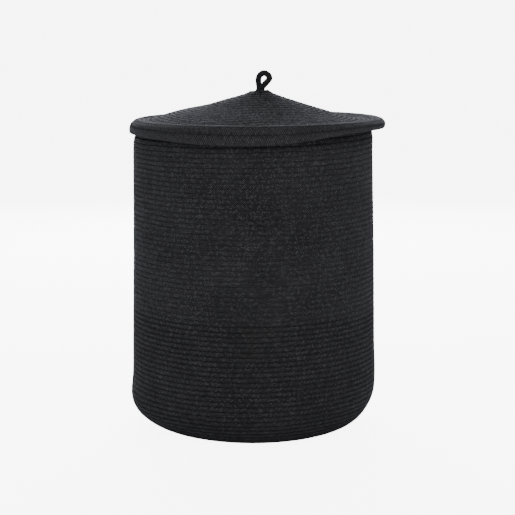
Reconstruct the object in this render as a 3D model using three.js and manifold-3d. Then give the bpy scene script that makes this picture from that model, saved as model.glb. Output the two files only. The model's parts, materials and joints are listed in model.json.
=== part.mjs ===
// Laundry hamper with a lid, sewn up from coiled braided cotton rope.
//
// The basket is one long rope wound in a flat disc, turned up round a soft heel and carried on as a
// straight wall to a rounded last course at the rim. The lid is a second rope, wound outwards from the
// middle as a shallow cone whose last courses roll over and hook round the basket's rim. A cord loop
// stands on the lid's peak and is held by a knot below it. Every solid here is one stage of that work.
//
// Millimetres, +Z up. The origin is on the floor under the middle of the lid.

import * as THREE from 'three';
import { mergeVertices } from 'three/addons/utils/BufferGeometryUtils.js';
import Module from 'manifold-3d';

// Rope and fits
const ropeThickness = 8;
const seamGap = 0.3;          // between two sewn stages that touch
const sideClearance = 2;      // between the lid's lip and the basket's rim

// Basket
const wallRadius = 200;       // outside of the wall below the lid
const rimDrawIn = 4;          // how much smaller the last course is than the wall
const footSpread = 6;         // how much wider the wall is where the heel begins
const basketHeight = 507;
const heelRadius = 68;
const shoulderDrop = 40;      // how far below the rim the wall starts to draw in

// Lid
const lidShift = 5.5;         // how far the lid sits off the basket's middle
const rollRadius = 15;        // outside of the rolled brim's section
const rollEndAngle = 45;      // degrees below level where the roll ends as a lip
const crestRise = 3;          // the roll's top above the valley inside it
const valleyWidth = 4;        // flat ring between the cone and the roll
const crownRise = 53;
const crownCurve = 1.3;       // over 1 makes the cone hollow towards its edge
const peakRadius = 95;        // where the steep courses round the peak end

// Loop on the peak
const cordDiameter = 7.5;
const legSpacing = 8.4;
const loopHeight = 26;        // of the cord's middle line, above the hinge
const loopLean = 22;          // how far the bight leans to one side
const loopHalfWidth = 9.4;    // of the cord's middle line, at its widest
const knotRadius = 14;
const knotDepth = 15;
const holeClearance = 0.3;    // round the legs where they pass through the lid

// Cut ends of the two ropes, sewn down out of sight
const tailLength = 60;
const tailDiameter = 7;

// How finely curves are divided
const roundSegments = 48;
const smallSegments = 24;
const arcSteps = 8;
const heelSteps = 5;
const peakSteps = 5;
const crownSteps = 5;
const cordSides = 10;
const loopSteps = 26;
const tailSteps = 8;

const wasm = await Module();
wasm.setup();

const ropeBlack = { color: 0x2b2c2f, roughness: 0.95, metalness: 0 };
const cordBlack = { color: 0x1a1a1c, roughness: 0.9, metalness: 0 };

const degrees = (angle) => (angle * Math.PI) / 180;

function piece(name, geometry, look) {
  const mesh = new THREE.Mesh(geometry, new THREE.MeshStandardMaterial(look));
  mesh.name = name;
  return mesh;
}

// Points on an arc in the (radius, height) plane, angles in degrees from level, counter-clockwise.
function arc(middleRadius, middleHeight, radius, from, to, steps = arcSteps) {
  const points = [];
  for (let step = 0; step <= steps; step += 1) {
    const angle = degrees(from + ((to - from) * step) / steps);
    points.push([middleRadius + radius * Math.cos(angle), middleHeight + radius * Math.sin(angle)]);
  }
  return points;
}

// Turns a counter-clockwise outline in the (radius, height) plane about +Z. An outline that misses the
// axis is closed on itself.
function turned(outline, segments = roundSegments) {
  const onAxis = outline[0][0] === 0;
  const closed = onAxis ? outline : [...outline, outline[0]];
  const points = closed.map(([radius, height]) => new THREE.Vector2(radius, height));
  const geometry = new THREE.LatheGeometry(points, segments);
  geometry.rotateX(Math.PI / 2);
  return geometry;
}

// A round rope or cord along a curve, with flat ends.
function roundAlong(curve, diameter, steps) {
  const section = new THREE.Shape();
  section.absarc(0, 0, diameter / 2, 0, 2 * Math.PI);
  return new THREE.ExtrudeGeometry(section, {
    extrudePath: curve,
    steps,
    curveSegments: cordSides,
  });
}

function toSolid(geometry) {
  const bare = geometry.clone();
  bare.deleteAttribute('normal');
  bare.deleteAttribute('uv');
  const merged = mergeVertices(bare, 1e-4);
  const solid = new wasm.Mesh({
    numProp: 3,
    vertProperties: new Float32Array(merged.attributes.position.array),
    triVerts: new Uint32Array(merged.index.array),
  });
  return new wasm.Manifold(solid);
}

function toGeometry(solid) {
  const mesh = solid.getMesh();
  const geometry = new THREE.BufferGeometry();
  geometry.setAttribute('position', new THREE.BufferAttribute(mesh.vertProperties, 3));
  geometry.setIndex(new THREE.BufferAttribute(mesh.triVerts, 1));
  return geometry;
}

// Closes a cord's end with a ball, so that it can turn in its seat.
function withBallEnds(tube, places, diameter) {
  return places.reduce((solid, place) => {
    const ball = new THREE.SphereGeometry(diameter / 2, cordSides, cordSides);
    ball.translate(place.x, place.y, place.z);
    return solid.add(toSolid(ball));
  }, toSolid(tube));
}

// A short end of rope that follows a level circle at the back of the piece that it is sewn to.
function ropeTail(radius, height) {
  const halfAngle = tailLength / radius / 2;
  const points = [];
  for (let step = 0; step <= tailSteps; step += 1) {
    const angle = Math.PI / 2 - halfAngle + (2 * halfAngle * step) / tailSteps;
    points.push(new THREE.Vector3(radius * Math.cos(angle), radius * Math.sin(angle), height));
  }
  const curve = new THREE.CatmullRomCurve3(points);
  const tube = roundAlong(curve, tailDiameter, tailSteps);
  return toGeometry(withBallEnds(tube, [points[0], points[tailSteps]], tailDiameter));
}

// ---- Basket ----

const rimRadius = wallRadius - rimDrawIn;
const footRadius = wallRadius + footSpread;
const flatRadius = footRadius - heelRadius;
const rimBottom = basketHeight - ropeThickness;
const shoulderHeight = basketHeight - shoulderDrop;
const heelMiddle = -45;
const heelGapAngle = (seamGap / (heelRadius - ropeThickness)) * (180 / Math.PI);

function baseCoil() {
  const edge = flatRadius - seamGap;
  return turned([[0, 0], [edge, 0], [edge, ropeThickness], [0, ropeThickness]]);
}

// The heel's courses between two angles, from -90 where it lies flat to 0 where it stands upright.
function heelCoil(from, to) {
  const outside = arc(flatRadius, heelRadius, heelRadius, from, to, heelSteps);
  const inside = arc(flatRadius, heelRadius, heelRadius - ropeThickness, to, from, heelSteps);
  return turned([...outside, ...inside]);
}

function wallCoil() {
  const bottom = heelRadius + seamGap;
  const top = rimBottom - seamGap;
  const outside = [[footRadius, bottom], [wallRadius, shoulderHeight], [rimRadius, top]];
  const inside = outside.map(([radius, height]) => [radius - ropeThickness, height]).reverse();
  return turned([...outside, ...inside]);
}

function rimCoil() {
  const half = ropeThickness / 2;
  const outline = arc(rimRadius - half, basketHeight - half, half, -90, 270, 12).slice(0, -1);
  return turned(outline);
}

function basketRopeEnd() {
  const radius = rimRadius - ropeThickness - seamGap - tailDiameter / 2;
  return ropeTail(radius, rimBottom - tailDiameter);
}

// ---- Lid ----

const lipInside = rimRadius + lidShift + sideClearance;
const rollMiddle = lipInside - (rollRadius - ropeThickness) * Math.cos(degrees(rollEndAngle));
const seatHeight = basketHeight + seamGap;
const valleyHeight = seatHeight + ropeThickness;
const rollHeight = valleyHeight + crestRise - rollRadius;
const rollStartAngle = 120;
const crownEdge = rollMiddle + rollRadius * Math.cos(degrees(rollStartAngle)) - seamGap;
const valleyRadius = crownEdge - valleyWidth;
const holeRadius = legSpacing / 2 + cordDiameter / 2 + holeClearance;

// The cone's top surface, steepest at the peak and level where it meets the valley.
function crownHeightAt(radius) {
  return valleyHeight + crownRise * (1 - radius / valleyRadius) ** crownCurve;
}

function crownSlopeAt(radius) {
  return ((-crownRise * crownCurve) / valleyRadius) * (1 - radius / valleyRadius) ** (crownCurve - 1);
}

// The cone's outline between two radii: its underside outwards, what closes the edge, its top inwards.
function coneOutline(fromRadius, toRadius, steps, edge = []) {
  const top = [];
  const underside = [];
  for (let step = 0; step <= steps; step += 1) {
    const share = step / steps;
    const radius = fromRadius * (1 - share) + toRadius * share;
    const height = crownHeightAt(radius);
    const steepness = Math.hypot(1, crownSlopeAt(radius));
    top.unshift([radius, height]);
    underside.push([radius, height - ropeThickness * steepness]);
  }
  return [...underside, ...edge, ...top];
}

function peakCoil() {
  return turned(coneOutline(holeRadius, peakRadius, peakSteps));
}

function crownCoil() {
  const edge = [[crownEdge, seatHeight], [crownEdge, valleyHeight]];
  return turned(coneOutline(peakRadius + seamGap, valleyRadius, crownSteps, edge));
}

function brimCoil() {
  const start = crownEdge + seamGap;
  const outside = arc(rollMiddle, rollHeight, rollRadius, -rollEndAngle, rollStartAngle);
  const inside = arc(rollMiddle, rollHeight, rollRadius - ropeThickness, rollStartAngle, -rollEndAngle);
  return turned([...outside, [start, valleyHeight], [start, seatHeight], ...inside]);
}

function lidRopeEnd() {
  const basketInside = rimRadius - ropeThickness - lidShift;
  const radius = basketInside - 2 * sideClearance - tailDiameter / 2 - tailDiameter;
  return ropeTail(radius, seatHeight - seamGap - tailDiameter / 2);
}

// ---- Loop ----

const peakHeight = crownHeightAt(holeRadius);
const hingeHeight = peakHeight + seamGap + cordDiameter / 2;
const undersideAtHole = peakHeight - ropeThickness * Math.hypot(1, crownSlopeAt(holeRadius));
const knotRound = 5;          // rounding of the knot's shoulders

// The knot's neck fills the hole in the lid, and its head bears on the underside.
function loopKnot() {
  const neckRadius = holeRadius - holeClearance;
  const crownFall = (knotRadius - holeRadius) * -crownSlopeAt(holeRadius);
  const headTop = undersideAtHole - crownFall - seamGap;
  const headBottom = headTop - knotDepth;
  const lower = arc(knotRadius - knotRound, headBottom + knotRound, knotRound, -90, 0, 4);
  const upper = arc(knotRadius - knotRound, headTop - knotRound, knotRound, 0, 90, 4);
  const outline = [[0, headBottom], ...lower, ...upper, [neckRadius, headTop]];
  return turned([...outline, [neckRadius, peakHeight], [0, peakHeight]], smallSegments);
}

// The cord goes up one leg, over a bight that leans to one side and down the other leg.
function loopCord() {
  const leg = legSpacing / 2;
  const middle = loopLean / 2;
  const outline = [
    [-leg, 0],
    [-leg, 0.33 * loopHeight],
    [middle - loopHalfWidth, 0.66 * loopHeight],
    [middle - 0.5 * loopHalfWidth, 0.92 * loopHeight],
    [middle + 0.3 * loopHalfWidth, loopHeight],
    [middle + 0.9 * loopHalfWidth, 0.87 * loopHeight],
    [middle + loopHalfWidth, 0.62 * loopHeight],
    [middle + 0.45 * loopHalfWidth, 0.32 * loopHeight],
    [leg, 0],
  ];
  const points = outline.map(([across, up]) => new THREE.Vector3(across, 0, hingeHeight + up));
  const curve = new THREE.CatmullRomCurve3(points, false, 'centripetal');
  const tube = roundAlong(curve, cordDiameter, loopSteps);
  return toGeometry(withBallEnds(tube, [points[0], points[points.length - 1]], cordDiameter));
}

// ---- Assembly ----

const basket = new THREE.Group();
basket.position.x = -lidShift;
basket.add(piece('base_coil', baseCoil(), ropeBlack));
basket.add(piece('lower_heel_coil', heelCoil(-90, heelMiddle), ropeBlack));
basket.add(piece('upper_heel_coil', heelCoil(heelMiddle + heelGapAngle, 0), ropeBlack));
basket.add(piece('wall_coil', wallCoil(), ropeBlack));
basket.add(piece('rim_coil', rimCoil(), ropeBlack));
basket.add(piece('basket_rope_end', basketRopeEnd(), ropeBlack));

const loop = new THREE.Group();
loop.add(piece('loop_cord', loopCord(), cordBlack));

const lid = new THREE.Group();
lid.add(piece('peak_coil', peakCoil(), ropeBlack));
lid.add(piece('crown_coil', crownCoil(), ropeBlack));
lid.add(piece('brim_coil', brimCoil(), ropeBlack));
lid.add(piece('lid_rope_end', lidRopeEnd(), ropeBlack));
lid.add(piece('loop_knot', loopKnot(), cordBlack));
lid.add(loop);

const hamper = new THREE.Group();
hamper.add(basket);
hamper.add(lid);

export default hamper;
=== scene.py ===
# Laundry hamper with a lid, sewn up from coiled braided cotton rope, as a Blender scene.
#
# Metres, in the same frame as the CAD nodes: +Z up, -Y to the front, the floor at zero.

import json
import math
from functools import partial

import bpy
import numpy as np
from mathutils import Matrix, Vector


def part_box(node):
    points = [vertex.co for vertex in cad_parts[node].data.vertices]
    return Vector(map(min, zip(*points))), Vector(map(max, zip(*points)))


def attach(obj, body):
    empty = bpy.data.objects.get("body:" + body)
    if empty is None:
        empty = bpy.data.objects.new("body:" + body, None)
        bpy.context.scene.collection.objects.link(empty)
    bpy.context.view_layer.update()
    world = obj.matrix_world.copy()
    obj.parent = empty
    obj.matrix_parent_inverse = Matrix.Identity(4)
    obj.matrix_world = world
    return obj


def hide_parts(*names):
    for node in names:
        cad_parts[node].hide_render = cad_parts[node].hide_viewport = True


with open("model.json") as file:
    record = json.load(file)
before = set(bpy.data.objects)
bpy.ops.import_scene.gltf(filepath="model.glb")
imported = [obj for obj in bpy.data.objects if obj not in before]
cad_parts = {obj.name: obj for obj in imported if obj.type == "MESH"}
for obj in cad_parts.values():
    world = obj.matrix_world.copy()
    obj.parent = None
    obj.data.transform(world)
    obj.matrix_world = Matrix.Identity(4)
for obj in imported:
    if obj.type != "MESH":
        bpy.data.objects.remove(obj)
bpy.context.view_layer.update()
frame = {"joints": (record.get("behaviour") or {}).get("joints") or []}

# ---- Camera ----
# It stands far in front of the hamper, a little above the lid, and looks down by nine degrees. It sees the
# whole hamper with free space all round.
camera_place = (0.0013, -2.7, 0.7099)
camera_pitch = 8.975          # degrees below level
camera_lens = 112.9

camera_data = bpy.data.cameras.new("camera")
camera_data.lens = camera_lens
camera_data.sensor_width = 36.0
camera = bpy.data.objects.new("camera", camera_data)
camera.location = camera_place
camera.rotation_euler = (math.radians(90.0 - camera_pitch), 0.0, 0.0)
bpy.context.scene.collection.objects.link(camera)
bpy.context.scene.camera = camera

# ---- Studio ----
# A plain white floor that runs on into a white surround, both bright only where they are seen directly. A
# soft box stands high in front, with a weak one below it for the heel. Three more stand round the back,
# so that they graze the lid and make it much lighter than the wall below it.
floor_size = 40.0
floor_white = 0.9
floor_glow = 7.0
surround_strength = 0.18
light_target = (0.0, 0.0, 0.45)
neutral = (1.0, 1.0, 1.0)
cool = (0.91, 0.91, 1.0)
lights = [
    # name, place, size, power, colour
    ("front_high", (0.0, -2.0, 2.15), 1.6, 34.0, neutral),
    ("front_low", (0.0, -2.2, 0.2), 0.5, 6.5, neutral),
    ("back", (0.0, 2.5, 1.6), 2.0, 116.0, cool),
    ("back_left", (-1.15, 2.25, 1.55), 1.6, 54.0, cool),
    ("back_right", (1.4, 2.2, 1.5), 1.6, 29.0, cool),
]


def soft_light(name, place, size, power, colour):
    """Adds a square soft box that faces the middle of the hamper."""
    data = bpy.data.lights.new(name, "AREA")
    data.shape = "SQUARE"
    data.size = size
    data.energy = power
    data.color = colour
    light = bpy.data.objects.new(name, data)
    light.location = place
    direction = Vector(light_target) - light.location
    light.rotation_euler = direction.to_track_quat("-Z", "Y").to_euler()
    light.visible_camera = False
    bpy.context.scene.collection.objects.link(light)


bpy.ops.object.select_all(action="DESELECT")
bpy.ops.mesh.primitive_plane_add(size=floor_size, location=(0.0, 0.0, 0.0))
floor = bpy.context.active_object
floor.name = "studio_floor"
floor_paint = bpy.data.materials.new("floor_paint")
floor_paint.use_nodes = True
floor_nodes = floor_paint.node_tree.nodes
floor_links = floor_paint.node_tree.links
floor_shader = floor_nodes["Principled BSDF"]
floor_shader.inputs["Base Color"].default_value = (floor_white, floor_white, floor_white, 1.0)
floor_shader.inputs["Roughness"].default_value = 0.9
floor_shader.inputs["Emission Color"].default_value = (1.0, 1.0, 1.0, 1.0)
seen_directly = floor_nodes.new("ShaderNodeLightPath")
glow = floor_nodes.new("ShaderNodeMath")
glow.operation = "MULTIPLY"
glow.inputs[1].default_value = floor_glow
floor_links.new(seen_directly.outputs["Is Camera Ray"], glow.inputs[0])
floor_links.new(glow.outputs["Value"], floor_shader.inputs["Emission Strength"])
floor.data.materials.append(floor_paint)

world = bpy.data.worlds.new("studio")
bpy.context.scene.world = world
world.use_nodes = True
world_nodes = world.node_tree.nodes
world_links = world.node_tree.links
surround = world_nodes["Background"]
surround.inputs["Color"].default_value = (1.0, 1.0, 1.0, 1.0)
seen_sky = world_nodes.new("ShaderNodeLightPath")
sky_strength = world_nodes.new("ShaderNodeMapRange")
sky_strength.inputs["To Min"].default_value = surround_strength
sky_strength.inputs["To Max"].default_value = floor_glow + surround_strength
world_links.new(seen_sky.outputs["Is Camera Ray"], sky_strength.inputs["Value"])
world_links.new(sky_strength.outputs["Result"], surround.inputs["Strength"])

for light in lights:
    soft_light(*light)

# ---- Rope of the basket ----
# One braided cotton rope, wound as a flat disc and then up round the heel and the wall. Each turn is sewn
# to the last one, so the rope is squashed a little square. The rope is swept round in stretches of up to
# fourteen metres, which butt against each other out of sight.
base_low, base_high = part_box("base_coil")
heel_low, heel_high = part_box("upper_heel_coil")
rim_low, rim_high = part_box("rim_coil")

rope_thickness = base_high[2] - base_low[2]
half_rope = rope_thickness / 2
rope_pitch = 0.0081           # from one turn to the next
step_length = 0.0021          # from one ring of mesh points to the next, along the rope
rope_sides = 12               # mesh points round the rope
squareness = 4.7              # 2 is a round rope, and more is squarer
stitch_length = 0.0017        # of one stitch of the braid
swell_share = 0.035           # how much the rope's thickness comes and goes
swell_steps = 11.0            # over how many rings of mesh points
swell_lead = 40               # rings from the start of the random line to the start of a rope
fibre_lift = 0.00004          # how far loose fibres roughen the surface

foot_spread = 0.006           # how much wider the wall is at the heel than at its shoulder
shoulder_drop = 0.022         # how far below the rim the wall starts to draw in
rim_slope = 0.016             # how much the rim rises to the right
rim_taper = 60                # rings over which the last turn thins out

basket_middle = (base_low[0] + base_high[0]) / 2
flat_radius = (base_high[0] - base_low[0]) / 2
foot_radius = (heel_high[0] - heel_low[0]) / 2
rim_radius = (rim_high[0] - rim_low[0]) / 2
wall_radius = foot_radius - foot_spread
heel_radius = foot_radius - flat_radius
shoulder_height = rim_high[2] - shoulder_drop

wall_folds = [
    # direction and width in degrees, height and reach as a share of the rim's height, how far it stands out
    (-146.0, 8.0, 0.82, 0.20, -0.0022),
    (-132.0, 9.0, 0.80, 0.22, 0.0014),
]
heel_lobes = [
    # direction in degrees, its width, twice the most that the heel swells there
    (-165.0, 50.0, 0.012),
    (-15.0, 50.0, -0.003),
    (-128.0, 24.0, -0.005),
    (-52.0, 24.0, -0.011),
]


def arc_points(middle, radius, start, end, count):
    """Points on an arc in the (radius, height) plane, angles in degrees from level."""
    angles = np.radians(np.linspace(start, end, count))
    return np.column_stack([middle[0] + radius * np.cos(angles), middle[1] + radius * np.sin(angles)])


class Profile:
    """The middle line of a coiled wall in the (radius, height) plane, measured from the axis outwards.

    Its first point lies past the axis, by the given length."""

    def __init__(self, points, past_axis):
        points = np.array(points)
        lengths = np.hypot(*np.diff(points, axis=0).T)
        self.along = np.concatenate([[0.0], np.cumsum(lengths)]) - past_axis
        self.radius = points[:, 0]
        self.height = points[:, 1]
        self.length = self.along[-1]

    def at(self, along):
        return np.interp(along, self.along, self.radius), np.interp(along, self.along, self.height)

    def place(self, along, out):
        """Points that stand `out` from the middle line, to the outside of the coil."""
        reach = 0.002
        radius, height = self.at(along)
        radius_on, height_on = self.at(along + reach)
        radius_back, height_back = self.at(along - reach)
        run, rise = radius_on - radius_back, height_on - height_back
        size = np.hypot(run, rise)
        return radius + out * rise / size, height - out * run / size


basket_profile = Profile(np.vstack([
    [[-rope_thickness, half_rope]],
    arc_points((flat_radius, heel_radius), heel_radius - half_rope, -90.0, 0.0, 40),
    [[wall_radius - half_rope, shoulder_height]],
    [[rim_radius - half_rope, rim_high[2] - half_rope]],
    [[rim_radius - half_rope, rim_high[2] + half_rope]],
]), past_axis=rope_thickness)


def spiral_turns(profile, start, end, pitch):
    """Where the rope has turned to at each of its steps, in whole turns, at even steps along the rope."""
    samples = 60000
    turns = np.linspace(start / pitch, end / pitch, samples)
    radius = np.abs(profile.at(turns * pitch)[0])
    lengths = np.pi * (radius[1:] + radius[:-1]) * np.diff(turns)
    travelled = np.concatenate([[0.0], np.cumsum(lengths)])
    steps = int(travelled[-1] / step_length)
    return np.interp(np.arange(steps + 1) * step_length, travelled, turns)


def slow_noise(positions, spacing, seed):
    """A smooth random line between about -1 and 1, with a new value at each spacing."""
    values = np.random.default_rng(seed).uniform(-1.0, 1.0, int(positions.max() / spacing) + 3)
    cell = np.floor(positions / spacing).astype(int)
    share = positions / spacing - cell
    share = share * share * (3.0 - 2.0 * share)
    return values[cell] * (1.0 - share) + values[cell + 1] * share


def ramp(value, start, length):
    """Rises evenly from 0 at the start to 1 after the length."""
    return np.clip((value - start) / length, 0.0, 1.0)


def bump_at(value, middle, width):
    """A smooth hump of height 1 at the middle."""
    return np.exp(-((value - middle) / width) ** 2)


def lobe_at(angle, direction, width):
    """A smooth hump of height 1 in one direction: 0 degrees is the right, and -90 is the front.

    The angle is in radians, the direction and the width in degrees."""
    return bump_at((np.degrees(angle) - direction + 180.0) % 360.0 - 180.0, 0.0, width)


def tilt_at(across):
    """How much the rim, and the lid on it, stand higher to the right."""
    return rim_slope * across


def soften_basket(radius, height, angle):
    """Where the soft basket leaves a true circle: its slack wall, its folds and its uneven heel."""
    share = np.clip(height / rim_high[2], 0.0, 1.0)
    on_wall = ramp(height, 0.03, 0.06) * (1.0 - ramp(height, rim_high[2] - 0.04, 0.03))
    slack = 0.0010 * np.sin(3.0 * angle + 1.2) * np.sin(5.0 * share + 0.4)
    slack = slack + 0.0007 * np.sin(5.0 * angle - 7.0 * share)
    for direction, width, middle, reach, depth in wall_folds:
        slack = slack + depth * lobe_at(angle, direction, width) * bump_at(share, middle, reach)
    radius = radius + on_wall * slack
    on_heel = bump_at(height, 0.035, 0.032) * np.clip(radius / flat_radius - 0.9, 0.0, 0.5)
    for direction, width, swell in heel_lobes:
        radius = radius + on_heel * swell * lobe_at(angle, direction, width)
    radius = radius + 0.0015 * lobe_at(angle, -15.0, 50.0) * bump_at(height, 0.09, 0.04)
    height = height + ramp(height, 0.40, 0.08) * tilt_at(radius * np.cos(angle))
    return radius, height


def wrap_basket(along, out, turn):
    """A place on the basket: `along` the wall from the middle of its base, `out` from the rope's middle."""
    angle = basket_phase + 2 * np.pi * turn
    radius, height = basket_profile.place(along, out)
    radius, height = soften_basket(radius, height, angle)
    wave = 0.00025 * np.sin(7.0 * angle + 90.0 * height) * np.clip(radius / flat_radius, 0.0, 1.0)
    height = height + wave * ramp(height, 0.02, 0.05)
    return np.stack([basket_middle + radius * np.cos(angle), radius * np.sin(angle), height], axis=-1)


def bare_tube(name, sides, steps):
    """A circle swept straight up in even steps, as one open tube."""
    bpy.ops.object.select_all(action="DESELECT")
    bpy.ops.mesh.primitive_circle_add(vertices=sides, radius=half_rope)
    tube = bpy.context.active_object
    tube.name = name
    tube.data.name = name
    sweep = tube.modifiers.new("sweep", "SCREW")
    sweep.angle = 0.0
    sweep.screw_offset = 1.0
    sweep.steps = steps
    sweep.render_steps = steps
    bpy.ops.object.modifier_apply(modifier="sweep")
    return tube


def close_tube(tube, places):
    """Moves the tube's points to their places, then closes its two ends."""
    tube.data.vertices.foreach_set("co", places.astype(np.float32).ravel())
    bpy.ops.object.mode_set(mode="EDIT")
    bpy.ops.mesh.select_all(action="SELECT")
    bpy.ops.mesh.fill_holes(sides=0)
    bpy.ops.mesh.select_all(action="SELECT")
    bpy.ops.mesh.normals_make_consistent(inside=False)
    bpy.ops.object.mode_set(mode="OBJECT")
    bpy.ops.object.shade_smooth()


def sweep_rope(name, turns, pitch, wrap, seed, taper=(0, 0), half=half_rope, first=0, square=squareness):
    """Sweeps a circle into a long tube, then lays the tube along its coil.

    `turns` holds the place of each step, and `wrap` turns (along, out, turn) into a point. `taper` is the
    number of steps over which the rope thins out at its start and at its end, and a thin end lies down on
    the turn beside it. `half` is half the rope's thickness, and `first` is the step that the braid is
    counted from."""
    steps = len(turns) - 1
    rope = bare_tube(name, rope_sides, steps)
    step = np.repeat(np.arange(steps + 1), rope_sides)
    column = np.tile(np.arange(rope_sides), steps + 1)
    section = 2 * np.pi * column / rope_sides
    swell = 1.0 + swell_share * slow_noise(step + swell_lead, swell_steps, seed)
    thinnest = 0.02
    thin = np.ones(steps + 1)
    lean = np.zeros(steps + 1)
    if taper[0]:
        thin[:taper[0]] = np.sqrt(np.linspace(thinnest, 1.0, taper[0]))
        lean[:taper[0]] = 1.0 - thin[:taper[0]]
    if taper[1]:
        thin[-taper[1]:] = np.sqrt(np.linspace(1.0, thinnest, taper[1]))
        lean[-taper[1]:] = thin[-taper[1]:] - 1.0
    grain = np.random.default_rng(seed + 1).normal(0.0, fibre_lift, len(step))
    size = thin[step]
    across = np.sign(np.cos(section)) * np.abs(np.cos(section)) ** (2 / square)
    out = np.sign(np.sin(section)) * np.abs(np.sin(section)) ** (2 / square)
    across = (across * size + lean[step]) * pitch / 2
    out = out * (half * swell + grain) * size
    turn = turns[step]
    close_tube(rope, wrap(turn * pitch + across, out, turn))
    middle_ring = slice(steps // 2 * rope_sides, steps // 2 * rope_sides + rope_sides)
    ring = np.column_stack([across[middle_ring], out[middle_ring]])
    add_rope_maps(rope.data, steps, np.vstack([ring, ring[:1]]), first)
    return rope


def add_rope_maps(mesh, steps, ring, first):
    """Gives the tube two maps: one counts the braid's stitches, one lays the rope out flat in strips."""
    sides = len(ring) - 1
    round_it = np.concatenate([[0.0], np.cumsum(np.hypot(*np.diff(ring, axis=0).T))])
    stitches_round = 2 * round(round_it[-1] / stitch_length / 2)
    stitch_at = round_it / round_it[-1] * stitches_round
    corners = np.empty(len(mesh.loops), dtype=np.int32)
    mesh.loops.foreach_get("vertex_index", corners)
    quads = 4 * steps * sides
    step, column = np.divmod(corners[:quads].reshape(-1, 4), sides)
    wraps = (column.max(axis=1) - column.min(axis=1) > 1)[:, None] & (column == 0)
    column = np.where(wraps, sides, column)
    braid_map = np.zeros((len(corners), 2), dtype=np.float32)
    braid_map[:quads, 0] = (step + first).ravel() * (step_length / stitch_length)
    braid_map[:quads, 1] = stitch_at[column].ravel()
    strip_steps = max(8, round(math.sqrt(steps * sides)))
    strips = math.ceil(steps / strip_steps)
    strip = step.min(axis=1, keepdims=True) // strip_steps
    strip_map = np.zeros((len(corners), 2), dtype=np.float32)
    strip_map[:quads, 0] = ((step - strip * strip_steps) / strip_steps).ravel()
    strip_map[:quads, 1] = ((strip + column / sides) / strips).ravel()
    for name, values in (("Braid", braid_map), ("OFBake", strip_map)):
        layer = mesh.uv_layers.new(name=name)
        layer.data.foreach_set("uv", values.ravel())


def node_group(name, inputs, outputs):
    """An empty shader node group with named inputs (name, kind, value) and outputs (name, kind)."""
    group = bpy.data.node_groups.new(name, "ShaderNodeTree")
    for label, kind, value in inputs:
        socket = group.interface.new_socket(label, in_out="INPUT", socket_type=kind)
        socket.default_value = value
    for label, kind in outputs:
        group.interface.new_socket(label, in_out="OUTPUT", socket_type=kind)
    return group, group.nodes.new("NodeGroupInput"), group.nodes.new("NodeGroupOutput")


def math_node(tree, operation, first, second=None, third=None):
    """A Math node whose inputs are numbers or sockets, and its output socket."""
    node = tree.nodes.new("ShaderNodeMath")
    node.operation = operation
    for index, value in enumerate((first, second, third)):
        if value is None:
            continue
        if isinstance(value, (int, float)):
            node.inputs[index].default_value = value
        else:
            tree.links.new(value, node.inputs[index])
    return node.outputs["Value"]


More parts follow.
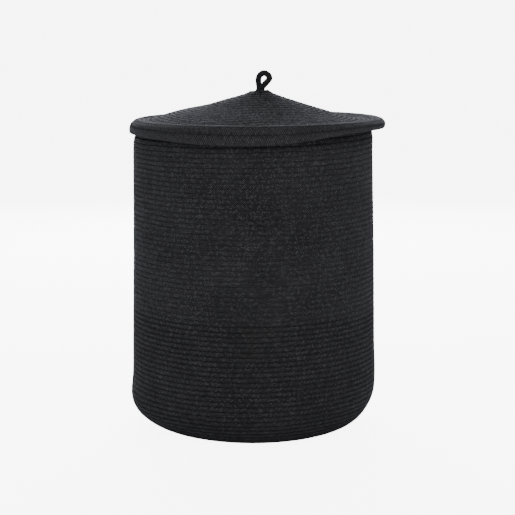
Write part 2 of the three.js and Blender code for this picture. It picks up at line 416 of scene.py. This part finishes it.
def braid_group():
    """Strands of several yarns that pass over and under each other, from a map that counts stitches.

    Height and Top rise from the gaps to the tops of the strands. Fibres is fine noise along them, and Pip
    is one random value for each place where a strand shows."""
    group, entry, leave = node_group(
        "braid",
        [
            ("Stitches", "NodeSocketVector", (0.0, 0.0, 0.0)),
            ("Yarns", "NodeSocketFloat", 4.0),
            ("Fuzz", "NodeSocketFloat", 0.5),
        ],
        [
            ("Height", "NodeSocketFloat"),
            ("Top", "NodeSocketFloat"),
            ("Fibres", "NodeSocketFloat"),
            ("Pip", "NodeSocketFloat"),
        ],
    )
    op = partial(math_node, group)
    parts = group.nodes.new("ShaderNodeSeparateXYZ")
    group.links.new(entry.outputs["Stitches"], parts.inputs["Vector"])
    along, round_ = parts.outputs["X"], parts.outputs["Y"]
    one = op("MULTIPLY", op("ADD", along, round_), 0.5)
    other = op("MULTIPLY", op("SUBTRACT", along, round_), 0.5)
    one_cell = op("ROUND", one)
    other_cell = op("ROUND", other)
    one_off = op("SUBTRACT", one, one_cell)
    other_off = op("SUBTRACT", other, other_cell)
    odd = op("ABSOLUTE", op("MODULO", op("ADD", one_cell, other_cell), 2.0))
    over = op("GREATER_THAN", odd, 0.5)

    def pick(when_odd, when_even):
        """One of two values, by which strand lies on top."""
        mix = group.nodes.new("ShaderNodeMix")
        mix.data_type = "FLOAT"
        group.links.new(over, mix.inputs["Factor"])
        group.links.new(when_even, mix.inputs["A"])
        group.links.new(when_odd, mix.inputs["B"])
        return mix.outputs["Result"]

    across = pick(one_off, other_off)
    lengthwise = pick(other_off, one_off)
    cross_round = op("COSINE", op("MULTIPLY", across, math.pi))
    long_round = op("COSINE", op("MULTIPLY", lengthwise, math.pi))
    top = op("MULTIPLY", cross_round, op("POWER", long_round, 0.6))
    yarn_turn = op("ADD", across, op("MULTIPLY", lengthwise, 0.18))
    yarn_angle = op("MULTIPLY", yarn_turn, op("MULTIPLY", entry.outputs["Yarns"], math.pi))
    yarn = op("ABSOLUTE", op("SINE", yarn_angle))
    place_across = pick(one, other)
    place_lengthwise = pick(other, one)
    fibre_place = group.nodes.new("ShaderNodeCombineXYZ")
    group.links.new(op("MULTIPLY", place_across, 14.0), fibre_place.inputs["X"])
    group.links.new(op("MULTIPLY", place_lengthwise, 2.5), fibre_place.inputs["Y"])
    group.links.new(op("MULTIPLY", odd, 7.0), fibre_place.inputs["Z"])
    noise = group.nodes.new("ShaderNodeTexNoise")
    noise.inputs["Scale"].default_value = 1.0
    noise.inputs["Detail"].default_value = 3.0
    group.links.new(fibre_place.outputs["Vector"], noise.inputs["Vector"])
    fibres = noise.outputs["Fac"]
    pip_place = group.nodes.new("ShaderNodeCombineXYZ")
    group.links.new(one_cell, pip_place.inputs["X"])
    group.links.new(other_cell, pip_place.inputs["Y"])
    pip = group.nodes.new("ShaderNodeTexWhiteNoise")
    pip.noise_dimensions = "3D"
    group.links.new(pip_place.outputs["Vector"], pip.inputs["Vector"])
    group.links.new(pip.outputs["Value"], leave.inputs["Pip"])
    ridges = op("MULTIPLY_ADD", yarn, 0.3, op("MULTIPLY", top, 0.7))
    fuzzy = op("MULTIPLY", op("SUBTRACT", fibres, 0.5), entry.outputs["Fuzz"])
    group.links.new(op("ADD", ridges, fuzzy), leave.inputs["Height"])
    group.links.new(top, leave.inputs["Top"])
    group.links.new(fibres, leave.inputs["Fibres"])
    return group


braid = braid_group()


def braided_material(name, light, bump_strength, dark=(0.003, 0.003, 0.003), sheen_tint=(0.8, 0.84, 1.0),
                     sheen_weight=0.06, speckle=0.8, patchiness=0.12):
    """Dull braided cotton, lighter and fuzzy on top of its strands, with painted shade that darkens it
    towards the gaps between them.

    `speckle` sets single strands apart by their tone, and `patchiness` sets small patches of them apart."""
    material = bpy.data.materials.new(name)
    material.use_nodes = True
    tree = material.node_tree
    op = partial(math_node, tree)
    shader = tree.nodes["Principled BSDF"]
    stitches = tree.nodes.new("ShaderNodeUVMap")
    stitches.uv_map = "Braid"
    weave = tree.nodes.new("ShaderNodeGroup")
    weave.node_tree = braid
    tree.links.new(stitches.outputs["UV"], weave.inputs["Stitches"])

    place = tree.nodes.new("ShaderNodeTexCoord")
    patches = tree.nodes.new("ShaderNodeTexNoise")
    patches.inputs["Scale"].default_value = 260.0
    patches.inputs["Detail"].default_value = 3.0
    tree.links.new(place.outputs["Object"], patches.inputs["Vector"])
    wide = tree.nodes.new("ShaderNodeTexNoise")
    wide.inputs["Scale"].default_value = 14.0
    wide.inputs["Detail"].default_value = 2.0
    tree.links.new(place.outputs["Object"], wide.inputs["Vector"])

    middle_tone = 0.51
    middle_worn = 0.25            # the mean of `worn`, so that more speckle leaves the mean tone as it is
    worn = op("POWER", weave.outputs["Pip"], 3.0)
    strand_tone = op("MULTIPLY_ADD", worn, speckle, middle_tone - middle_worn * speckle)
    # The colour fades to dark towards the gaps between the strands: this is painted shade in the gaps.
    tone = op("MULTIPLY", weave.outputs["Top"], strand_tone)
    tone = op("MULTIPLY_ADD", weave.outputs["Fibres"], 0.12, tone)
    tone = op("ADD", tone, op("MULTIPLY", op("SUBTRACT", patches.outputs["Fac"], 0.5), patchiness))
    tone = op("ADD", tone, op("MULTIPLY", op("SUBTRACT", wide.outputs["Fac"], 0.5), 0.25))
    clamp = tree.nodes.new("ShaderNodeClamp")
    tree.links.new(tone, clamp.inputs["Value"])
    colour = tree.nodes.new("ShaderNodeMix")
    colour.data_type = "RGBA"
    colour.inputs["A"].default_value = (*dark, 1.0)
    colour.inputs["B"].default_value = (*light, 1.0)
    tree.links.new(clamp.outputs["Result"], colour.inputs["Factor"])
    tree.links.new(colour.outputs["Result"], shader.inputs["Base Color"])

    roughness = op("SUBTRACT", 0.98, op("MULTIPLY", weave.outputs["Top"], 0.08))
    tree.links.new(roughness, shader.inputs["Roughness"])
    bump = tree.nodes.new("ShaderNodeBump")
    bump.inputs["Strength"].default_value = bump_strength
    bump.inputs["Distance"].default_value = 0.0011
    tree.links.new(weave.outputs["Height"], bump.inputs["Height"])
    tree.links.new(bump.outputs["Normal"], shader.inputs["Normal"])
    shader.inputs["Specular IOR Level"].default_value = 0.12
    shader.inputs["Sheen Weight"].default_value = sheen_weight
    shader.inputs["Sheen Roughness"].default_value = 0.5
    shader.inputs["Sheen Tint"].default_value = (*sheen_tint, 1.0)
    return material


rope_light = (0.103, 0.1015, 0.107)
rope_cotton = braided_material("black_cotton_rope", light=rope_light, bump_strength=0.8)


def finish_rope(rope, body, nodes, cotton=rope_cotton):
    """Gives a rope its cotton, and says which body it rides on and which CAD nodes it replaces."""
    rope.data.materials.append(cotton)
    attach(rope, body)
    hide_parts(*nodes)


back = math.pi / 2            # both ropes end at the back
wall_stretches = 5
basket_seed = 10

basket_end = basket_profile.length - rope_thickness
basket_turns = spiral_turns(basket_profile, rope_pitch / 2, basket_end, rope_pitch)
basket_phase = back - 2 * math.pi * basket_turns[-1]
heel_arc = math.pi / 2 * (heel_radius - half_rope)
base_end = np.searchsorted(basket_turns * rope_pitch, flat_radius)
heel_end = np.searchsorted(basket_turns * rope_pitch, flat_radius + heel_arc)
rim_start = np.searchsorted(basket_turns, basket_turns[-1] - 1.0)
wall_cuts = np.linspace(heel_end, rim_start, wall_stretches + 1).astype(int)
stretches = [
    # name, first step, last step, CAD nodes
    ("base_rope", 0, base_end, ["base_coil"]),
    ("heel_rope", base_end, heel_end, ["lower_heel_coil", "upper_heel_coil"]),
]
for index in range(wall_stretches):
    stretches.append((f"wall_rope_{index + 1}", wall_cuts[index], wall_cuts[index + 1], ["wall_coil"]))
stretches.append(("rim_rope", rim_start, len(basket_turns) - 1, ["rim_coil"]))
for index, (name, start, end, nodes) in enumerate(stretches):
    taper = (0, rim_taper) if name == "rim_rope" else (0, 0)
    turns = basket_turns[start:end + 1]
    rope = sweep_rope(name, turns, rope_pitch, wrap_basket, basket_seed + index, taper, first=start)
    finish_rope(rope, "basket", nodes)

# ---- Stitching of the basket ----
# One thick black thread runs in a zigzag over every groove between two turns, outside and inside, and holds
# the coil together. Each leg of the zigzag is one straight stitch.
thread_half = 0.00042         # half the thread's thickness
thread_spread = 1.5           # how much wider than thick it is pulled flat
stitch_reach = 0.0017         # to each side of the groove
stitch_sink = 0.0002          # how far the thread is pulled into the rope
thread_sides = 3              # mesh points round the thread
steps_per_stitch = 2          # rope steps from one stitch hole to the next


def sweep_thread(name, turns, pitch, wrap, side):
    """A zigzag thread along the groove beside each turn: side is 1 for outside and -1 for inside."""
    legs = len(turns) - 1
    thread = bare_tube(name, thread_sides, legs)
    leg = np.repeat(np.arange(legs + 1), thread_sides)
    section = np.tile(2 * np.pi * np.arange(thread_sides) / thread_sides, legs + 1)
    reach = np.where(leg % 2 == 0, stitch_reach, -stitch_reach)
    across = reach + thread_spread * thread_half * np.cos(section)
    out = side * (half_rope - stitch_sink) + thread_half * np.sin(section)
    turn = turns[leg]
    close_tube(thread, wrap((turn + 0.5) * pitch + across, out, turn))
    return thread


def thread_material():
    """Dull spun thread of fine twisted plies."""
    material = bpy.data.materials.new("black_sewing_thread")
    material.use_nodes = True
    tree = material.node_tree
    shader = tree.nodes["Principled BSDF"]
    place = tree.nodes.new("ShaderNodeTexCoord")
    plies = tree.nodes.new("ShaderNodeTexNoise")
    plies.inputs["Scale"].default_value = 1800.0
    plies.inputs["Detail"].default_value = 2.0
    tree.links.new(place.outputs["Object"], plies.inputs["Vector"])
    colour = tree.nodes.new("ShaderNodeMix")
    colour.data_type = "RGBA"
    colour.inputs["A"].default_value = (0.006, 0.006, 0.0066, 1.0)
    colour.inputs["B"].default_value = (0.022, 0.0225, 0.024, 1.0)
    tree.links.new(plies.outputs["Fac"], colour.inputs["Factor"])
    tree.links.new(colour.outputs["Result"], shader.inputs["Base Color"])
    bump = tree.nodes.new("ShaderNodeBump")
    bump.inputs["Strength"].default_value = 0.5
    bump.inputs["Distance"].default_value = 0.0002
    tree.links.new(plies.outputs["Fac"], bump.inputs["Height"])
    tree.links.new(bump.outputs["Normal"], shader.inputs["Normal"])
    shader.inputs["Roughness"].default_value = 0.75
    shader.inputs["Specular IOR Level"].default_value = 0.15
    return material


sewing_thread = thread_material()


def finish_thread(thread, body):
    """Gives a thread its material, and says which body it rides on."""
    thread.data.materials.append(sewing_thread)
    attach(thread, body)


sewn_turns = basket_turns[basket_turns < basket_turns[-1] - 1.0][::steps_per_stitch]
finish_thread(sweep_thread("outside_stitching", sewn_turns, rope_pitch, wrap_basket, 1), "basket")
finish_thread(sweep_thread("inside_stitching", sewn_turns, rope_pitch, wrap_basket, -1), "basket")

# ---- Rope ends ----
# The cut end of each rope, of the same braided cotton. It is turned back inside and sewn down flat at the
# back, where it isn't seen, and it thins out at both ends of the sewn length.
end_taper = 6                 # rings over which it thins out
end_seed = 60


def rope_end(name, node, body, middle):
    """A short length of rope in the place of a CAD rope end."""
    low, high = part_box(node)
    half = (high[2] - low[2]) / 2
    radius = high[1] - half
    height = (high[2] + low[2]) / 2
    half_angle = ((high[0] - low[0]) / 2 - half) / radius
    steps = int(2 * half_angle * radius / step_length)
    turns = np.linspace(-half_angle, half_angle, steps + 1)
    thickness = 2 * half

    def wrap(along, out, turn):
        reach = radius + out
        across = middle + reach * np.sin(turn)
        up = height + along - turn * thickness + tilt_at(across)
        return np.stack([across, reach * np.cos(turn), up], axis=-1)

    rope = sweep_rope(name, turns, thickness, wrap, end_seed, (end_taper, end_taper), half=half)
    finish_rope(rope, body, [node])


rope_end("basket_end_rope", "basket_rope_end", "basket", basket_middle)
rope_end("lid_end_rope", "lid_rope_end", "lid", 0.0)

# ---- Rope of the lid ----
# A second rope of braided cotton, wound outwards from the loop's legs as a shallow cone and sewn like the
# first. Its last courses roll over and down, round the rim. The soft brim droops at the front, and is
# thinner at the right and the right front.
peak_low, peak_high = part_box("peak_coil")
crown_low, crown_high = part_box("crown_coil")
brim_low, brim_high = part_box("brim_coil")

roll_radius = 0.015           # of the rolled brim, to its outside
roll_start = 120.0            # degrees from level, where the roll leaves the cone
roll_end = -45.0              # where the roll ends, under the brim's outside
roll_overrun = 30.0           # how much farther the middle line runs on, past the last turn
valley_inset = 0.004          # how far inside the cone's edge its lowest line lies
crown_rise = 0.053            # from there to the peak
crown_curve = 1.3             # 1 is a straight cone, and more is more hollow
line_points = 60              # on the cone's line, and on the roll's
lid_start = 0.0115            # along the cone from the axis to the rope's first turn
lid_squareness = 3.4
brim_squareness = 8.0
peak_taper = 20               # rings over which the first turn grows out of nothing
lid_seed = 40

roll_middle = (brim_high[0] - brim_low[0]) / 2 - roll_radius
roll_height = brim_high[2] - roll_radius
valley_height = crown_low[2] + rope_thickness
valley_radius = (crown_high[0] - crown_low[0]) / 2 - valley_inset
peak_edge = (peak_high[0] - peak_low[0]) / 2


def crown_middle_line():
    """The cone's middle line from the axis to the valley, half a rope below its top."""
    radius = np.linspace(0.0, valley_radius, line_points)
    share = 1.0 - radius / valley_radius
    top = valley_height + crown_rise * share ** crown_curve
    slope = np.gradient(top, radius)
    return np.column_stack([radius, top - half_rope * np.hypot(1.0, slope)])


crown_line = crown_middle_line()
roll_line = arc_points((roll_middle, roll_height), roll_radius - half_rope,
                       roll_start, roll_end - roll_overrun, line_points)
lid_profile = Profile(np.vstack([
    [[-rope_thickness, crown_line[0, 1]]],
    crown_line,
    roll_line,
]), past_axis=rope_thickness)
overrun_length = math.radians(roll_overrun) * (roll_radius - half_rope)
lid_end = lid_profile.length - overrun_length - rope_pitch / 2


def soften_lid(radius, height, angle):
    """Where the soft lid leaves a true cone and a true ring: its bulge, its peak and its uneven brim."""
    share = np.clip(radius / roll_middle, 0.0, 1.1)
    left = lobe_at(angle, 180.0, 62.0)
    right = lobe_at(angle, 0.0, 52.0)
    front = lobe_at(angle, -97.0, 42.0)
    front_right = lobe_at(angle, -46.0, 24.0)
    upper = ramp(height, roll_height - 0.011, 0.02)
    grown = ramp(share, 0.88, 0.1)
    bulge = 0.0080 * bump_at(share, 0.70, 0.28) + 0.002 * bump_at(share, 0.28, 0.14)
    height = height + upper * left * bulge
    height = height + 0.0015 * upper * grown * (1.0 - np.sin(angle))
    height = height - 0.0022 * upper * right * bump_at(share, 0.8, 0.3)
    height = height + 0.008 * bump_at(radius, 0.0, 0.014)
    height = height + 0.0010 * np.sin(3.0 * angle + 0.6) * bump_at(share, 0.6, 0.25)
    height = height + 0.0006 * np.sin(7.0 * angle + 2.0) * bump_at(share, 0.75, 0.2)
    below = np.clip(brim_high[2] - height, 0.0, 0.05) * ramp(share, 0.93, 0.04)
    height = height + below * (0.26 * right + 0.26 * front_right - 0.42 * front)
    radius = radius + grown * (0.0012 * right - 0.0008 * left + 0.0007 * np.sin(4.0 * angle))
    return radius, height


def wrap_lid(along, out, turn):
    """A place on the lid: `along` its wall from the peak, `out` from the rope's middle."""
    angle = lid_phase + 2 * np.pi * turn
    radius, height = lid_profile.place(along, -out)
    radius, height = soften_lid(radius, height, angle)
    drawn_in = 1.0 - 0.15 * bump_at(radius, 0.0, 0.02)
    off_middle = 0.0054 * bump_at(radius, 0.0, 0.09)
    across = radius * np.cos(angle) + off_middle
    return np.stack([across, radius * np.sin(angle) * drawn_in, height + tilt_at(across)], axis=-1)


lid_turns = spiral_turns(lid_profile, lid_start, lid_end, rope_pitch)
lid_phase = back - 2 * math.pi * lid_turns[-1]
peak_end = np.searchsorted(lid_profile.at(lid_turns * rope_pitch)[0], peak_edge)
crown_length = np.hypot(*np.diff(crown_line, axis=0).T).sum()
crown_end = np.searchsorted(lid_turns * rope_pitch, crown_length)
last = len(lid_turns) - 1
# The lid's rope is the basket's cotton painted lighter and bluer: painted light and sheen for the light that
# the lid catches from above. Its stronger speckle and larger patches vary its tone at random.
lid_cotton_painted_light = braided_material(
    "black_cotton_lid_rope_painted_light",
    light=(0.114, 0.112, 0.121),
    bump_strength=0.8,
    speckle=1.5,
    patchiness=2.0,
)
brim_cotton = braided_material(
    "black_cotton_brim_rope",
    light=rope_light,
    bump_strength=0.55,
    speckle=0.3,
    patchiness=0.5,
)
lid_stretches = [
    # name, first step, last step, CAD node, squareness, material
    ("peak_rope", 0, peak_end, ["peak_coil"], lid_squareness, lid_cotton_painted_light),
    ("crown_rope", peak_end, crown_end, ["crown_coil"], lid_squareness, lid_cotton_painted_light),
    ("brim_rope", crown_end, last, ["brim_coil"], brim_squareness, brim_cotton),
]
for index, (name, start, end, nodes, square, cotton) in enumerate(lid_stretches):
    taper = (peak_taper if start == 0 else 0, rim_taper if end == last else 0)
    turns = lid_turns[start:end + 1]
    rope = sweep_rope(name, turns, rope_pitch, wrap_lid, lid_seed + index, taper, first=start, square=square)
    finish_rope(rope, "lid", nodes, cotton)

lid_sewn_turns = lid_turns[lid_turns < lid_turns[-1] - 1.0][::steps_per_stitch]
finish_thread(sweep_thread("lid_top_stitching", lid_sewn_turns, rope_pitch, wrap_lid, 1), "lid")
finish_thread(sweep_thread("lid_under_stitching", lid_sewn_turns, rope_pitch, wrap_lid, -1), "lid")

# ---- Loop and knot ----
# A length of round braided cord, doubled into a loop that leans to the right. Its two legs go down through
# the lid's middle, where one leg winds twice round the other and both are cut off.
hinge = next(joint["pos_m"][2] for joint in frame["joints"] if joint["name"] == "loop_tilt")
cord_low, cord_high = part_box("loop_cord")
cord_growth = 1.32            # how much thicker than its CAD solid the cord is
cord_half = cord_growth * (cord_high[1] - cord_low[1]) / 2
cord_step = 0.0015            # from one ring of mesh points to the next
cord_taper = 3                # rings over which a cut end is rounded
loop_route = [
    # millimetres from the hinge: to the right, to the back, up
    (4.6, 3.6, -3.6), (4.4, 3.6, -0.4), (3.6, 3.2, 5.0), (2.9, 2.6, 10.5), (3.0, 2.0, 15.6),
    (4.9, 1.3, 20.4), (9.2, 0.6, 23.9), (14.4, -0.2, 24.4), (19.3, -1.0, 20.9), (21.4, -1.8, 16.2),
    (18.9, -2.6, 12.2), (15.4, -3.2, 8.6), (11.6, -3.6, 4.4), (9.0, -3.7, 0.2), (8.2, -3.6, -3.6),
]


class Route:
    """A smooth line through points, with a frame at each place along it."""

    def __init__(self, points):
        points = np.array(points)
        knots = np.vstack([2 * points[0] - points[1], points, 2 * points[-1] - points[-2]])
        places_per_span = 20
        share = np.linspace(0.0, 1.0, places_per_span + 1)[:-1, None]
        parts = []
        for before, start, end, after in zip(knots, knots[1:], knots[2:], knots[3:]):
            parts.append(0.5 * (2 * start + (end - before) * share
                                + (2 * before - 5 * start + 4 * end - after) * share ** 2
                                + (3 * start - before - 3 * end + after) * share ** 3))
        self.line = np.vstack([*parts, points[-1:]])
        lengths = np.linalg.norm(np.diff(self.line, axis=0), axis=1)
        self.along = np.concatenate([[0.0], np.cumsum(lengths)])
        self.length = self.along[-1]

    def at(self, along):
        return np.stack([np.interp(along, self.along, self.line[:, axis]) for axis in range(3)], axis=-1)

    def wrap(self, along, out, turn):
        """A place on a cord along the line, where one turn counts as the cord's own thickness."""
        reach = 0.0006
        start = turn * 2 * cord_half
        across = along - start
        ahead = self.at(start + reach) - self.at(start - reach)
        ahead /= np.linalg.norm(ahead, axis=1, keepdims=True)
        side = np.cross(ahead, (0.0, 1.0, 0.02))
        side /= np.linalg.norm(side, axis=1, keepdims=True)
        up = np.cross(side, ahead)
        return self.at(start) + side * across[:, None] + up * out[:, None]


def sweep_cord(name, points, seed):
    """A round braided cord with soft ends along a route, given in millimetres from the hinge."""
    route = Route(np.array(points) * 0.001 + np.array([0.0, 0.0, hinge]))
    steps = int(route.length / cord_step)
    turns = np.linspace(0.0, route.length, steps + 1) / (2 * cord_half)
    taper = (cord_taper, cord_taper)
    return sweep_rope(name, turns, 2 * cord_half, route.wrap, seed, taper, half=cord_half, square=2.0)


cord_cotton = braided_material(
    "black_cord",
    dark=(0.010, 0.010, 0.0105),
    light=(0.055, 0.055, 0.058),
    sheen_tint=(0.8, 0.85, 0.95),
    sheen_weight=0.05,
    bump_strength=0.8,
)


def finish_cord(cord, body, nodes):
    """Gives a cord its cotton, and says which body it rides on and which CAD nodes it replaces."""
    cord.data.materials.append(cord_cotton)
    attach(cord, body)
    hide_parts(*nodes)


# The knot's sizes are in millimetres too, from the same hinge.
knot_turns = 2.0              # of one leg round the other
knot_radius = 10.4            # of the turns' middle line
knot_centre = 4.2             # to the right of the hinge
knot_top = -15.0              # where the turns begin
knot_drop = 9.2               # from one turn to the next
knot_bottom = knot_top - knot_drop * knot_turns
knot_spans = 16               # between the points of the turns

winding = [(4.4, 3.6, 0.5), (2.6, 3.4, -6.0), (-1.6, 0.6, knot_top + 3.0)]
for index in range(knot_spans + 1):
    share = index / knot_spans
    angle = math.pi - 2 * math.pi * knot_turns * share
    winding.append((
        knot_centre + knot_radius * math.cos(angle),
        knot_radius * math.sin(angle),
        knot_top - knot_drop * knot_turns * share,
    ))
winding.append((-3.0, 6.0, knot_bottom - 7.0))
straight = [
    (8.2, -3.6, 0.5),
    (8.0, -3.0, -6.0),
    (5.6, -1.0, knot_top),
    (4.4, 0.0, knot_top - 8.0),
    (4.0, 0.0, knot_bottom - 9.0),
]
finish_cord(sweep_cord("loop", loop_route, seed=70), "loop", ["loop_cord"])
finish_cord(sweep_cord("knot_winding", winding, seed=72), "lid", ["loop_knot"])
finish_cord(sweep_cord("knot_core", straight, seed=74), "lid", ["loop_knot"])
